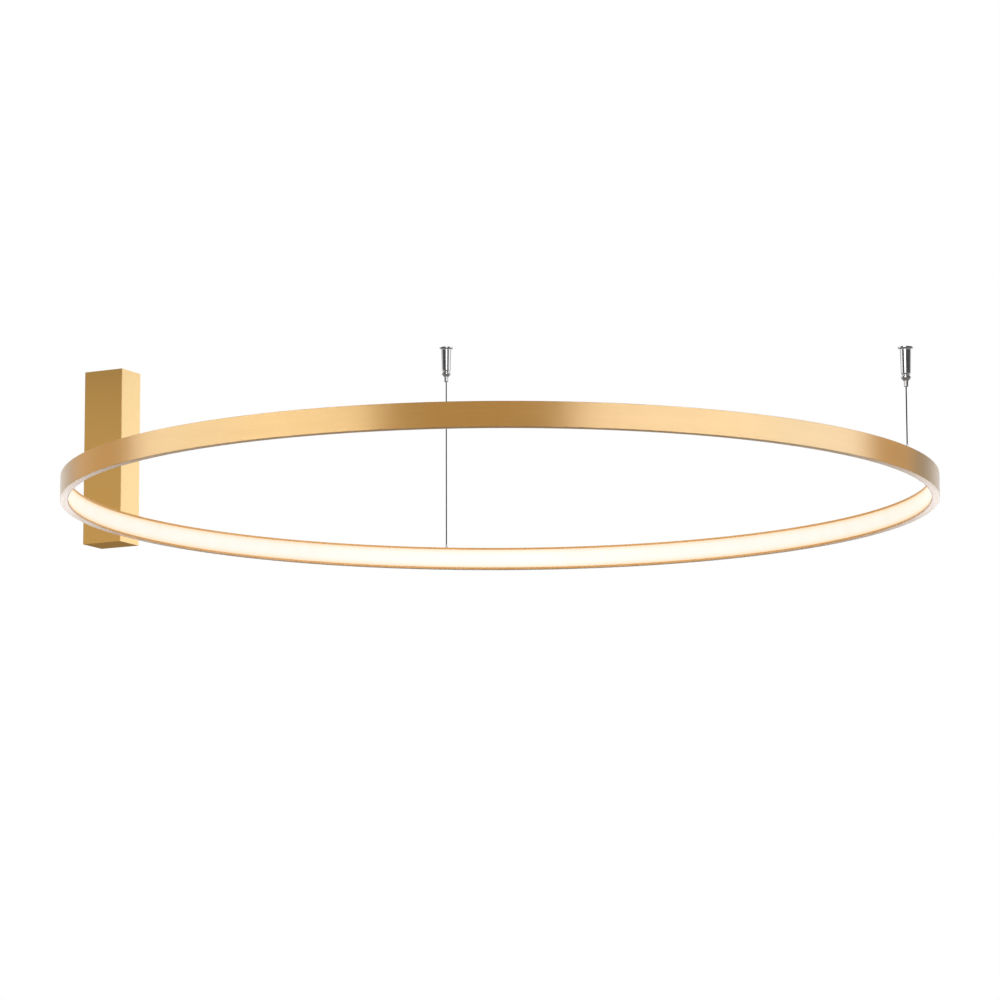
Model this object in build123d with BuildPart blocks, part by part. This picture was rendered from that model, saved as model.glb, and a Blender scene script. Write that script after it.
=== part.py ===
from build123d import *
from math import atan, cos, pi, radians, sin
import os

os.makedirs("parts", exist_ok=True)

# All lengths are millimetres. The origin is on the ceiling over the middle of the box.
# X points from the box to the middle of the ring and Z points up.

# Ring: an aluminium channel bent to a circle, open to the inside
ring_diameter = 1000
ring_height = 27
ring_depth = 9
ring_wall = 2
ring_lip = 2.2
ring_edge = 0.4
ring_above_foot = 5.5
groove_depth = 0.6
groove_width = 1

# Opal band that snaps between the lips
band_recess = 0.3
band_thickness = 1.5
band_gap = 0.1
tongue_reach = 0.5
butt_gap = 0.4

# Lit strip on the back wall of the channel
strip_width = 12
strip_thickness = 0.3
glue_gap = 0.05
strip_break = 12
chip_pitch = 17.45
chip_length = 3.5
chip_width = 2.8
chip_height = 0.8
solder_gap = 0.02
resistor_length = 2
resistor_width = 1.2
resistor_height = 0.5
resistor_drop = 3.8

# Box, a square tube that hangs from the ceiling and holds the driver
box_depth = 53
box_width = 41
box_wall = 1.5
box_edge = 0.8
ceiling_gap = 0.5
fit_gap = 0.05

# Joint between ring and box
saddle_side_inset = 2.5
saddle_edge_inset = 1.5
saddle_thickness = 2
saddle_corner = 2
stud_spacing = 22
stud_radius = 2
screw_clearance = 0.25
stud_head_radius = 3.5
stud_head_thickness = 1.3
nut_flats = 7
nut_thickness = 3.2
washer_radius = 4.5
washer_thickness = 0.8
stud_tail = 1.1
stud_edge = 0.3
lead_hole_radius = 3.5
lead_grommet_gap = 0.1
lead_bore_radius = 2.2
lead_flange_radius = 5
lead_flange_thickness = 1

# Closing cap at the foot of the box
cap_thickness = 2
cap_skirt = 8
cap_skirt_wall = 1.6
cap_screw_radius = 1.5
cap_screw_head = 2.7
cap_screw_length = 3
cap_screw_rise = 2.6
cap_screw_spacing = 20
cross_width = 0.6
cross_length = 2.8
cross_depth = 0.6

# Bracket on the ceiling
bracket_gap = 0.1
bracket_side_gap = 2
bracket_thickness = 2
bracket_leg = 18
bracket_bend = 2.5
ceiling_screw_spacing = 34
ceiling_hole_radius = 2.5
bracket_screw_spacing = 20
bracket_screw_drop = 10
bracket_screw_radius = 2
bracket_screw_length = 6.5
button_head_radius = 3.8
button_head_height = 2.2
button_head_edge = 1.6
hex_socket_flats = 2.5
hex_socket_depth = 1.3
mains_bore_radius = 3.5
mains_hole_radius = 5
mains_lead_in = 0.6
mains_grommet_length = 5
mains_flange_reach = 1.5
mains_flange_thickness = 1.2

# Sheet that carries the driver and the terminal block
carrier_thickness = 1.2
carrier_side_gap = 1.5
carrier_top = 20
carrier_below_stud = 9
carrier_corner = 2
earth_stud_length = 7
earth_below_block = 10.5
earth_nut_thickness = 3.2
earth_tag_radius = 3.6
earth_tag_thickness = 0.8
earth_barrel_radius = 1.6
earth_barrel_length = 5.5
earth_barrel_gap = 0.5

# Terminal block
wire_lane = 10.5
terminal_end_wall = 5
terminal_height = 16
terminal_below_carrier_top = 1
terminal_edge = 0.8
pole_pitch = 10
clamp_radius = 3
clamp_length = 12
clamp_bore_gap = 0.15
clamp_setback = 5.5
clamp_screw_radius = 1.2
clamp_screw_head = 1.7
clamp_screw_spacing = 6
clamp_screw_slot = 0.5
clamp_screw_sunk = 0.3
clamp_head_clear = 0.4
fixing_radius = 1.25
fixing_head_radius = 2.3
fixing_head_height = 1.6

# Driver case and board
driver_below_earth = 4.5
driver_length = 120
driver_side_inset = 0.5
driver_wall = 1.5
wire_lane_cover = 2.5
driver_lid_depth = 13
driver_above_stud = 11
driver_edge = 1
ear_length = 8
ear_width = 10
driver_screw_radius = 1.5
driver_screw_head = 2.75
driver_screw_head_height = 2
lid_rib_thickness = 0.8
lid_rib_reach = 2
lid_rib_end_gap = 4
post_radius = 2.5
post_height = 3.6
board_side_gap = 0.7
board_end_gap = 1.5
board_thickness = 1.6
board_screw_inset_y = 2.5
board_screw_inset_z = 2.5
board_screw_radius = 1.1
board_screw_head = 1.9
board_screw_head_height = 1.5
board_screw_length = 3.6
core_length = 20
core_thickness = 6
core_height = 13
core_leg = 5
core_yoke = 2.5
core_outer_leg = 3
winding_width = 15
winding_edge = 1.5
bobbin_length = 22
bobbin_thickness = 2
bobbin_corner = 1
choke_ring_radius = 5.2
choke_wire_radius = 2.4
choke_y = -6
choke_z = 32
mains_capacitor_radius = 5
output_capacitor_radius = 4
capacitor_height = 14
capacitor_groove = 0.4
# Places on the board, across and up from its middle
mains_capacitor_place = (-7, 17)
first_output_capacitor_place = (6, -22)
second_output_capacitor_place = (-7, -30)
# Small parts on the board: place across and up from its middle, width, length, height
film_capacitor = (9, 36, 6, 13, 11)
bridge_rectifier = (8, 22, 9, 8, 2.5)
switch_transistor = (8, 14, 10, 4.5, 15)
controller_chip = (-11, 6, 5, 6, 1.6)
output_diode = (-6, -16, 10, 4.5, 15)
output_chip = (9, -34, 6, 5, 2)

# Wires
mains_wire_radius = 1.1
mains_wire_bend = 2.2
mains_landing_inset = 12
lead_radius = 0.7
lead_bend = 2
lead_gap = 0.4
lead_overlap = 3
lead_landing_inset = 10
lead_to_strip = 0.12
lead_sleeve_short = 0.1

# Suspension cables, and where each one stands on the ring
cable_radius = 0.75
cable_inset = 4.5
cable_a_angle = 125.9
cable_b_angle = 2.2
flange_a_height = 78.5
flange_b_height = -65.5
cable_tail = 4
cable_end_gap = 0.05
bush_radius = 1.6
cable_clearance = 0.2
bush_flange_radius = 2.1
bush_flange_thickness = 1
bush_collar = 0.3
bush_rise = 4
bush_nose_wall = 0.25
ferrule_radius = 1.7
ferrule_length = 6
ferrule_floor = 0.8
crimp_gap = 0.02
ferrule_edge = 0.3

# Ceiling cup of a gripper, with heights measured down from the top of its flange
flange_radius = 8.5
flange_thickness = 1.2
flare_radius = 2.3
sleeve_top_radius = 6.2
sleeve_foot_radius = 5.5
cup_length = 31.2
cup_bevel = 1.8
cup_lip = 0.5
cup_cavity_radius = 4.25
cup_screw_radius = 2.2

# Gripper body below the cup
thread_length = 13.2
neck_step = 0.1
neck_length = 1
collar_radius = 5.65
collar_bevel = 1
collar_band = 1.2
nose_length = 3.3
nose_wall = 0.33
guide_length = 2.7
cone_length = 6
cone_slope = 0.13

# Release plunger, balls and spring
plunger_gap = 0.07
plunger_reach = 6.5
plunger_edge = 0.5
shoulder_gap = 0.09
shoulder_thickness = 1.2
shoulder_lift = 3.2
ball_radius = 1
ball_lift = 1.6
ball_wall_reach = 0.3
ball_count = 3
ball_cable_gap = 0.02
ball_cone_gap = 0.05
spring_cap_thickness = 2.5
spring_radius = 2.4
spring_wire_radius = 0.3
spring_turns = 6

# Sizes that follow from the ones above
ring_radius = ring_diameter / 2
cable_circle_radius = ring_radius - cable_inset
terminal_drop = carrier_top + terminal_below_carrier_top
terminal_width = 2 * (pole_pitch + terminal_end_wall)
terminal_depth = wire_lane + clamp_setback
clamp_bore_radius = mains_wire_radius + clamp_bore_gap
earth_y = pole_pitch
earth_drop = terminal_drop + terminal_height + earth_below_block
driver_top = earth_drop + driver_below_earth
box_foot = (
    driver_top + driver_length + ear_length + driver_above_stud + ring_height / 2 + ring_above_foot
)
ring_x = box_depth / 2 + saddle_thickness + ring_radius
ring_z = -box_foot + ring_above_foot + ring_height / 2
ring_inner_radius = ring_radius - ring_depth
wall_inner_radius = ring_radius - ring_wall
cavity_height = ring_height - 2 * ring_lip
band_inner_radius = ring_inner_radius + band_recess
band_outer_radius = band_inner_radius + band_thickness
band_height = cavity_height - 2 * band_gap
tongue_thickness = groove_width - 2 * band_gap
strip_outer_radius = wall_inner_radius - glue_gap
strip_inner_radius = strip_outer_radius - strip_thickness
chip_count = 3 * round(2 * pi * strip_inner_radius / chip_pitch / 3)
chip_step = 360 / chip_count
inner_x = box_depth / 2 - box_wall
inner_width = box_width - 2 * box_wall
saddle_width = box_width - 2 * saddle_side_inset
saddle_height = ring_height - 2 * saddle_edge_inset
bracket_width = inner_width - 2 * bracket_side_gap
carrier_width = inner_width - 2 * carrier_side_gap
carrier_bottom = carrier_below_stud - ring_z
driver_width = carrier_width - 2 * driver_side_inset
driver_inner_length = driver_length - 2 * driver_wall
driver_inner_width = driver_width - 2 * driver_wall
driver_base_depth = wire_lane + wire_lane_cover
board_width = driver_inner_width - 2 * board_side_gap
board_length = driver_inner_length - 2 * board_end_gap
stud_hole_radius = stud_radius + screw_clearance
lead_grommet_radius = lead_hole_radius - lead_grommet_gap
lead_spacing = 2 * lead_radius + lead_gap
lead_reach = strip_break / 2 + lead_overlap
mains_flange_radius = mains_hole_radius + mains_flange_reach
carrier_face_x = inner_x - carrier_thickness
stud_head_x = box_depth / 2 + saddle_thickness + ring_wall
stud_end_x = carrier_face_x - washer_thickness - nut_thickness - stud_tail
ring_axis = Axis((ring_x, 0, ring_z), (0, 0, 1))
stud_spots = [(-stud_spacing / 2, ring_z), (stud_spacing / 2, ring_z)]
pole_ys = [-pole_pitch, 0, pole_pitch]
clamp_x = carrier_face_x - wire_lane
terminal_front_x = carrier_face_x - terminal_depth
terminal_z = -terminal_drop - terminal_height / 2
driver_z = -driver_top - driver_length / 2
split_x = carrier_face_x - driver_base_depth
board_back_x = carrier_face_x - driver_wall - post_height
board_face_x = board_back_x - board_thickness
driver_screw_z = driver_length / 2 + ear_length / 2
driver_screw_spots = [(0, driver_z + driver_screw_z), (0, driver_z - driver_screw_z)]
board_screw_y = board_width / 2 - board_screw_inset_y
board_screw_z = board_length / 2 - board_screw_inset_z
fixing_spots = [(-pole_pitch / 2, terminal_z), (pole_pitch / 2, terminal_z)]


def turning_plane(x, y, z):
    """Upright plane through an upright axis: local x is the radius, local y the height."""
    return Plane(origin=(x, y, z), x_dir=(1, 0, 0), z_dir=(0, -1, 0))


def front_plane(x):
    """Upright plane that faces the ring: local x runs along Y and local y along Z."""
    return Plane(origin=(x, 0, 0), x_dir=(0, 1, 0), z_dir=(1, 0, 0))


def ring_spot(angle):
    """Place on the circle of the cable holes, at an angle seen from the ring's middle."""
    x = ring_x + cable_circle_radius * cos(radians(angle))
    y = cable_circle_radius * sin(radians(angle))
    return (x, y)


def back_place(y, z):
    """Place on the hidden back face of the box, facing out."""
    return Plane(origin=(-box_depth / 2, y, z), x_dir=(0, -1, 0), z_dir=(-1, 0, 0))


cable_spots = {"a": ring_spot(cable_a_angle), "b": ring_spot(cable_b_angle)}
flange_heights = {"a": flange_a_height, "b": flange_b_height}


# Ring profile, with pockets for the stud heads and holes for leads and cables
with BuildPart() as ring_profile:
    with BuildSketch(turning_plane(ring_x, 0, ring_z)) as ring_section:
        with Locations((ring_radius, 0)):
            Rectangle(ring_depth, ring_height, align=(Align.MAX, Align.CENTER))
        fillet(ring_section.vertices().group_by(Axis.X)[-1], ring_edge)
        with Locations((wall_inner_radius, 0)):
            Rectangle(
                ring_depth,
                cavity_height,
                align=(Align.MAX, Align.CENTER),
                mode=Mode.SUBTRACT,
            )
        with Locations((band_outer_radius, 0)):
            Rectangle(
                groove_width,
                cavity_height + 2 * groove_depth,
                align=(Align.MAX, Align.CENTER),
                mode=Mode.SUBTRACT,
            )
    revolve(axis=ring_axis)
    with BuildSketch(front_plane(stud_head_x - stud_head_thickness - fit_gap)):
        with Locations(*stud_spots):
            Circle(stud_head_radius + fit_gap)
    extrude(amount=ring_wall, mode=Mode.SUBTRACT)
    with BuildSketch(front_plane(box_depth / 2 + saddle_thickness)):
        with Locations(*stud_spots):
            Circle(stud_radius + fit_gap)
        with Locations((0, ring_z)):
            Circle(lead_hole_radius)
    extrude(amount=2 * ring_wall, mode=Mode.SUBTRACT)
    with BuildSketch(Plane.XY.offset(ring_z + cavity_height / 2)):
        with Locations(*cable_spots.values()):
            Circle(bush_radius + fit_gap)
    extrude(amount=ring_lip, mode=Mode.SUBTRACT)
ring_profile.part.label = "ring_profile"
export_step(ring_profile.part, "parts/ring_profile.step")

# Opal band with a tongue along each edge, butted together at the box
with BuildPart() as diffuser:
    with BuildSketch(turning_plane(ring_x, 0, ring_z)):
        with Locations((band_outer_radius, 0)):
            Rectangle(band_thickness, band_height, align=(Align.MAX, Align.CENTER))
        with Locations((band_outer_radius - band_gap, 0)):
            Rectangle(
                tongue_thickness,
                cavity_height + 2 * tongue_reach,
                align=(Align.MAX, Align.CENTER),
            )
    revolve(axis=ring_axis)
    with Locations((ring_x - band_inner_radius, 0, ring_z)):
        Box(ring_depth, butt_gap, ring_height, mode=Mode.SUBTRACT)
diffuser.part.label = "diffuser"
export_step(diffuser.part, "parts/diffuser.step")

# Flexible circuit on the back wall, with a break where the leads come in
with BuildPart() as led_strip:
    with BuildSketch(turning_plane(ring_x, 0, ring_z)):
        with Locations((strip_outer_radius, 0)):
            Rectangle(strip_thickness, strip_width, align=(Align.MAX, Align.CENTER))
    revolve(axis=ring_axis)
    with Locations((ring_x - strip_outer_radius, 0, ring_z)):
        Box(ring_depth, strip_break, ring_height, mode=Mode.SUBTRACT)
led_strip.part.label = "led_strip"
export_step(led_strip.part, "parts/led_strip.step")

# Diodes round the strip, none over the break
with BuildPart(Plane(origin=(ring_x, 0, ring_z))) as led_chips:
    with PolarLocations(
        strip_inner_radius - solder_gap - chip_height / 2,
        chip_count - 2,
        start_angle=180 + 1.5 * chip_step,
        angular_range=chip_step * (chip_count - 2),
    ):
        Box(chip_height, chip_width, chip_length)
led_chips.part.label = "led_chips"
export_step(led_chips.part, "parts/led_chips.step")

# One resistor for every three diodes
with BuildPart(Plane(origin=(ring_x, 0, ring_z - resistor_drop))) as strip_resistors:
    with PolarLocations(
        strip_inner_radius - solder_gap - resistor_height / 2,
        chip_count // 3 - 1,
        start_angle=180 + 3 * chip_step,
        angular_range=chip_step * (chip_count - 3),
    ):
        Box(resistor_height, resistor_length, resistor_width)
strip_resistors.part.label = "strip_resistors"
export_step(strip_resistors.part, "parts/strip_resistors.step")

# Studs whose flat heads sit flush in the channel's back wall
with BuildPart() as ring_studs:
    with BuildSketch(front_plane(stud_head_x)):
        with Locations(*stud_spots):
            Circle(stud_head_radius)
    extrude(amount=-stud_head_thickness)
    with BuildSketch(front_plane(stud_end_x)):
        with Locations(*stud_spots):
            Circle(stud_radius)
    extrude(amount=stud_head_x - stud_head_thickness - stud_end_x)
    chamfer(ring_studs.faces().sort_by(Axis.X)[0:2].edges(), stud_edge)
ring_studs.part.label = "ring_studs"
export_step(ring_studs.part, "parts/ring_studs.step")

# Packing piece, flat to the box and hollow to the ring
with BuildPart() as saddle:
    with BuildSketch(front_plane(box_depth / 2)):
        with Locations((0, ring_z)):
            RectangleRounded(saddle_width, saddle_height, saddle_corner)
            Circle(lead_hole_radius, mode=Mode.SUBTRACT)
        with Locations(*stud_spots):
            Circle(stud_hole_radius, mode=Mode.SUBTRACT)
    extrude(amount=2 * saddle_thickness)
    with Locations((ring_x, 0, ring_z)):
        Cylinder(ring_radius + fit_gap, 2 * saddle_height, mode=Mode.SUBTRACT)
saddle.part.label = "saddle"
export_step(saddle.part, "parts/saddle.step")

# Washers under the stud nuts
with BuildPart() as stud_washers:
    with BuildSketch(front_plane(carrier_face_x)):
        with Locations(*stud_spots):
            Circle(washer_radius)
            Circle(stud_hole_radius, mode=Mode.SUBTRACT)
    extrude(amount=-washer_thickness)
stud_washers.part.label = "stud_washers"
export_step(stud_washers.part, "parts/stud_washers.step")

# Nuts that draw ring, saddle, box and carrier together
with BuildPart() as stud_nuts:
    with BuildSketch(front_plane(carrier_face_x - washer_thickness)):
        with Locations(*stud_spots):
            RegularPolygon(nut_flats / 2, 6, major_radius=False)
            Circle(stud_radius + fit_gap, mode=Mode.SUBTRACT)
    extrude(amount=-nut_thickness)
stud_nuts.part.label = "stud_nuts"
export_step(stud_nuts.part, "parts/stud_nuts.step")

# Sleeve for the two leads, from inside the box through to the channel
with BuildPart() as lead_grommet:
    with BuildSketch(front_plane(carrier_face_x)):
        with Locations((0, ring_z)):
            Circle(lead_flange_radius)
            Circle(lead_bore_radius, mode=Mode.SUBTRACT)
    extrude(amount=-lead_flange_thickness)
    with BuildSketch(front_plane(carrier_face_x)):
        with Locations((0, ring_z)):
            Circle(lead_grommet_radius)
            Circle(lead_bore_radius, mode=Mode.SUBTRACT)
    extrude(amount=stud_head_x - carrier_face_x - lead_sleeve_short)
lead_grommet.part.label = "lead_grommet"
export_step(lead_grommet.part, "parts/lead_grommet.step")

cap_screw_places = [
    back_place(-cap_screw_spacing / 2, -box_foot + cap_thickness + cap_screw_rise),
    back_place(cap_screw_spacing / 2, -box_foot + cap_thickness + cap_screw_rise),
]
bracket_screw_places = [
    back_place(-bracket_screw_spacing / 2, -bracket_screw_drop),
    back_place(bracket_screw_spacing / 2, -bracket_screw_drop),
]

# Square tube of the box
with BuildPart() as box_shell:
    with BuildSketch(Plane.XY.offset(-box_foot)):
        RectangleRounded(box_depth, box_width, box_edge)
        Rectangle(box_depth - 2 * box_wall, box_width - 2 * box_wall, mode=Mode.SUBTRACT)
    extrude(amount=box_foot - ceiling_gap)
    with BuildSketch(front_plane(box_depth / 2)):
        with Locations(*stud_spots):
            Circle(stud_hole_radius)
        with Locations((0, ring_z)):
            Circle(lead_hole_radius)
    extrude(amount=-box_wall, mode=Mode.SUBTRACT)
    with Locations(*bracket_screw_places):
        Hole(bracket_screw_radius + screw_clearance, box_wall)
    with Locations(*cap_screw_places):
        CounterSinkHole(
            cap_screw_radius + fit_gap,
            cap_screw_head + fit_gap,
            depth=box_wall,
            counter_sink_angle=90,
        )
box_shell.part.label = "box_shell"
export_step(box_shell.part, "parts/box_shell.step")

# Cap that closes the foot, with a skirt up inside the tube
with BuildPart() as foot_cap:
    cap_depth = box_depth - 2 * box_wall - 2 * fit_gap
    cap_width = box_width - 2 * box_wall - 2 * fit_gap
    with BuildSketch(Plane.XY.offset(-box_foot)):
        Rectangle(cap_depth, cap_width)
    extrude(amount=cap_skirt)
    with BuildSketch(Plane.XY.offset(-box_foot + cap_thickness)):
        Rectangle(cap_depth - 2 * cap_skirt_wall, cap_width - 2 * cap_skirt_wall)
    extrude(amount=cap_skirt, mode=Mode.SUBTRACT)
    with Locations(*cap_screw_places):
        Hole(cap_screw_radius + fit_gap, 2 * box_wall + cap_skirt_wall)
foot_cap.part.label = "foot_cap"
export_step(foot_cap.part, "parts/foot_cap.step")

# Countersunk screws that hold the cap, in the back face
with BuildPart() as cap_screws:
    with Locations(*cap_screw_places):
        Cylinder(
            cap_screw_radius,
            cap_screw_length,
            align=(Align.CENTER, Align.CENTER, Align.MAX),
        )
        Cone(
            cap_screw_radius,
            cap_screw_head,
            cap_screw_head - cap_screw_radius,
            align=(Align.CENTER, Align.CENTER, Align.MAX),
        )
    with Locations(*cap_screw_places):
        Box(cross_width, cross_length, 2 * cross_depth, mode=Mode.SUBTRACT)
        Box(cross_length, cross_width, 2 * cross_depth, mode=Mode.SUBTRACT)
cap_screws.part.label = "cap_screws"
export_step(cap_screws.part, "parts/cap_screws.step")

# Bent bracket that is screwed to the ceiling, with the box hung on its legs
with BuildPart() as ceiling_bracket:
    bracket_depth = box_depth - 2 * box_wall - 2 * bracket_gap
    with BuildSketch(turning_plane(0, 0, 0)) as bracket_section:
        Rectangle(bracket_depth, bracket_leg, align=(Align.CENTER, Align.MAX))
        fillet(bracket_section.vertices().group_by(Axis.Z)[-1], bracket_bend)
        with Locations((0, -bracket_thickness)):
            Rectangle(
                bracket_depth - 2 * bracket_thickness,
                bracket_leg,
                align=(Align.CENTER, Align.MAX),
                mode=Mode.SUBTRACT,
            )
    extrude(amount=bracket_width / 2, both=True)
    with BuildSketch(Plane.XY):
        Circle(mains_hole_radius)
        with GridLocations(ceiling_screw_spacing, 0, 2, 1):
            Circle(ceiling_hole_radius)
    extrude(amount=-bracket_thickness, mode=Mode.SUBTRACT)
    with Locations((0, 0, 0)):
        Cone(
            mains_hole_radius,
            mains_hole_radius + mains_lead_in,
            mains_lead_in,
            align=(Align.CENTER, Align.CENTER, Align.MAX),
            mode=Mode.SUBTRACT,
        )
    with Locations(*bracket_screw_places):
        Hole(bracket_screw_radius + fit_gap, box_wall + bracket_gap + bracket_thickness)
ceiling_bracket.part.label = "ceiling_bracket"
export_step(ceiling_bracket.part, "parts/ceiling_bracket.step")

# Button-head screws from the back face into the bracket's leg
with BuildPart() as bracket_screws:
    with Locations(*bracket_screw_places):
        Cylinder(
            button_head_radius,
            button_head_height,
            align=(Align.CENTER, Align.CENTER, Align.MIN),
        )
    fillet(bracket_screws.faces().sort_by(Axis.X)[0:2].edges(), button_head_edge)
    with BuildSketch(front_plane(-box_depth / 2 - button_head_height)):
        with GridLocations(bracket_screw_spacing, 0, 2, 1):
            with Locations((0, -bracket_screw_drop)):
                RegularPolygon(hex_socket_flats / 2, 6, major_radius=False)
    extrude(amount=hex_socket_depth, mode=Mode.SUBTRACT)
    with Locations(*bracket_screw_places):
        Cylinder(
            bracket_screw_radius,
            bracket_screw_length,
            align=(Align.CENTER, Align.CENTER, Align.MAX),
        )
bracket_screws.part.label = "bracket_screws"
export_step(bracket_screws.part, "parts/bracket_screws.step")

# Soft grommet where the mains cable comes through the bracket
with BuildPart() as mains_grommet:
    with BuildSketch(turning_plane(0, 0, 0)):
        with BuildLine():
            Polyline(
                (mains_bore_radius, 0),
                (mains_hole_radius + mains_lead_in - 3 * fit_gap, 0),
                (mains_hole_radius - 2 * fit_gap, -mains_lead_in),
                (mains_hole_radius - 2 * fit_gap, -bracket_thickness - fit_gap),
                (mains_flange_radius, -bracket_thickness - fit_gap),
                (mains_flange_radius, -bracket_thickness - mains_flange_thickness),
                (mains_hole_radius, -mains_grommet_length),
                (mains_bore_radius, -mains_grommet_length),
                close=True,
            )
        make_face()
    revolve(axis=Axis.Z)
mains_grommet.part.label = "mains_grommet"
export_step(mains_grommet.part, "parts/mains_grommet.step")

# Carrier sheet against the front wall, with a welded earth stud
with BuildPart() as carrier:
    with BuildSketch(front_plane(inner_x)):
        with Locations((0, -(carrier_top + carrier_bottom) / 2)):
            RectangleRounded(carrier_width, carrier_bottom - carrier_top, carrier_corner)
        with Locations(*stud_spots):
            Circle(stud_hole_radius, mode=Mode.SUBTRACT)
        with Locations((0, ring_z)):
            Circle(lead_hole_radius, mode=Mode.SUBTRACT)
        with Locations(*driver_screw_spots):
            Circle(driver_screw_radius + fit_gap, mode=Mode.SUBTRACT)
        with Locations(*fixing_spots):
            Circle(fixing_radius + fit_gap, mode=Mode.SUBTRACT)
    extrude(amount=-carrier_thickness)
    with BuildSketch(front_plane(carrier_face_x)):
        with Locations((earth_y, -earth_drop)):
            Circle(stud_radius)
    extrude(amount=-earth_stud_length)
carrier.part.label = "carrier"
export_step(carrier.part, "parts/carrier.step")

# Earth tag: a ring on the stud with a crimp barrel turned off it
tag_barrel_z = -terminal_drop - terminal_height - mains_wire_bend - earth_barrel_gap
with BuildPart() as earth_tag:
    with BuildSketch(front_plane(carrier_face_x)):
        with Locations((earth_y, -earth_drop)):
            Circle(earth_tag_radius)
        with Locations((earth_y, tag_barrel_z)):
            Rectangle(
                2 * earth_barrel_radius,
                earth_drop + tag_barrel_z,
                align=(Align.CENTER, Align.MAX),
            )
            Circle(earth_barrel_radius)
        with Locations((earth_y, -earth_drop)):
            Circle(stud_radius + fit_gap, mode=Mode.SUBTRACT)
    extrude(amount=-earth_tag_thickness)
    with BuildSketch(front_plane(carrier_face_x - earth_tag_thickness)):
        with Locations((earth_y, tag_barrel_z)):
            Circle(earth_barrel_radius)
            Circle(mains_wire_radius + fit_gap, mode=Mode.SUBTRACT)
    extrude(amount=-earth_barrel_length)
earth_tag.part.label = "earth_tag"
export_step(earth_tag.part, "parts/earth_tag.step")

# Nut on the earth stud
with BuildPart() as earth_nut:
    with BuildSketch(front_plane(carrier_face_x - earth_tag_thickness)):
        with Locations((earth_y, -earth_drop)):
            RegularPolygon(nut_flats / 2, 6, major_radius=False)
            Circle(stud_radius + fit_gap, mode=Mode.SUBTRACT)
    extrude(amount=-earth_nut_thickness)
earth_nut.part.label = "earth_nut"
export_step(earth_nut.part, "parts/earth_nut.step")

# Terminal block body, with a well for each clamp and holes for its screws
pole_spots = [(clamp_x, y) for y in pole_ys]
clamp_screw_zs = [terminal_z - clamp_screw_spacing / 2, terminal_z + clamp_screw_spacing / 2]
clamp_screw_spots = [(y, z) for y in pole_ys for z in clamp_screw_zs]
clamp_foot_z = terminal_z - clamp_length / 2
with BuildPart() as terminal_block:
    with BuildSketch(front_plane(carrier_face_x)):
        with Locations((0, terminal_z)):
            Rectangle(terminal_width, terminal_height)
    extrude(amount=-terminal_depth)
    fillet(terminal_block.edges().filter_by(Axis.X), terminal_edge)
    with BuildSketch(Plane.XY.offset(clamp_foot_z - fit_gap)):
        with Locations(*pole_spots):
            Circle(clamp_radius + fit_gap)
    extrude(amount=terminal_height, mode=Mode.SUBTRACT)
    with BuildSketch(Plane.XY.offset(clamp_foot_z)):
        with Locations(*pole_spots):
            Circle(clamp_bore_radius + fit_gap)
    extrude(amount=-terminal_height, mode=Mode.SUBTRACT)
    with BuildSketch(front_plane(terminal_front_x)):
        with Locations(*clamp_screw_spots):
            Circle(clamp_screw_head + 2 * fit_gap)
    extrude(amount=clamp_setback - clamp_radius / 2, mode=Mode.SUBTRACT)
    with BuildSketch(front_plane(terminal_front_x)):
        with Locations(*fixing_spots):
            Circle(fixing_radius + fit_gap)
    extrude(amount=terminal_depth, mode=Mode.SUBTRACT)
    with BuildSketch(front_plane(terminal_front_x)):
        with Locations(*fixing_spots):
            Circle(fixing_head_radius + fit_gap)
    extrude(amount=fixing_head_height, mode=Mode.SUBTRACT)
terminal_block.part.label = "terminal_block"
export_step(terminal_block.part, "parts/terminal_block.step")

# Brass clamps inside the block
with BuildPart() as terminal_clamps:
    with BuildSketch(Plane.XY.offset(clamp_foot_z)):
        with Locations(*pole_spots):
            Circle(clamp_radius)
            Circle(clamp_bore_radius, mode=Mode.SUBTRACT)
    extrude(amount=clamp_length)
    with BuildSketch(front_plane(terminal_front_x)):
        with Locations(*clamp_screw_spots):
            Circle(clamp_screw_radius + fit_gap)
    extrude(amount=clamp_setback, mode=Mode.SUBTRACT)
terminal_clamps.part.label = "terminal_clamps"
export_step(terminal_clamps.part, "parts/terminal_clamps.step")

# Slotted clamp screws, two to a pole
clamp_screw_start = terminal_front_x + clamp_screw_sunk
clamp_head_end = clamp_x - clamp_radius - clamp_head_clear
clamp_screw_end = clamp_x - mains_wire_radius - fit_gap
with BuildPart() as terminal_screws:
    with BuildSketch(front_plane(clamp_screw_start)):
        with Locations(*clamp_screw_spots):
            Circle(clamp_screw_head)
    extrude(amount=clamp_head_end - clamp_screw_start)
    with BuildSketch(front_plane(clamp_head_end)):
        with Locations(*clamp_screw_spots):
            Circle(clamp_screw_radius)
    extrude(amount=clamp_screw_end - clamp_head_end)
    with BuildSketch(front_plane(clamp_screw_start)):
        with Locations(*clamp_screw_spots):
            Rectangle(4 * clamp_screw_head, clamp_screw_slot)
    extrude(amount=clamp_screw_slot, mode=Mode.SUBTRACT)
terminal_screws.part.label = "terminal_screws"
export_step(terminal_screws.part, "parts/terminal_screws.step")

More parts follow.
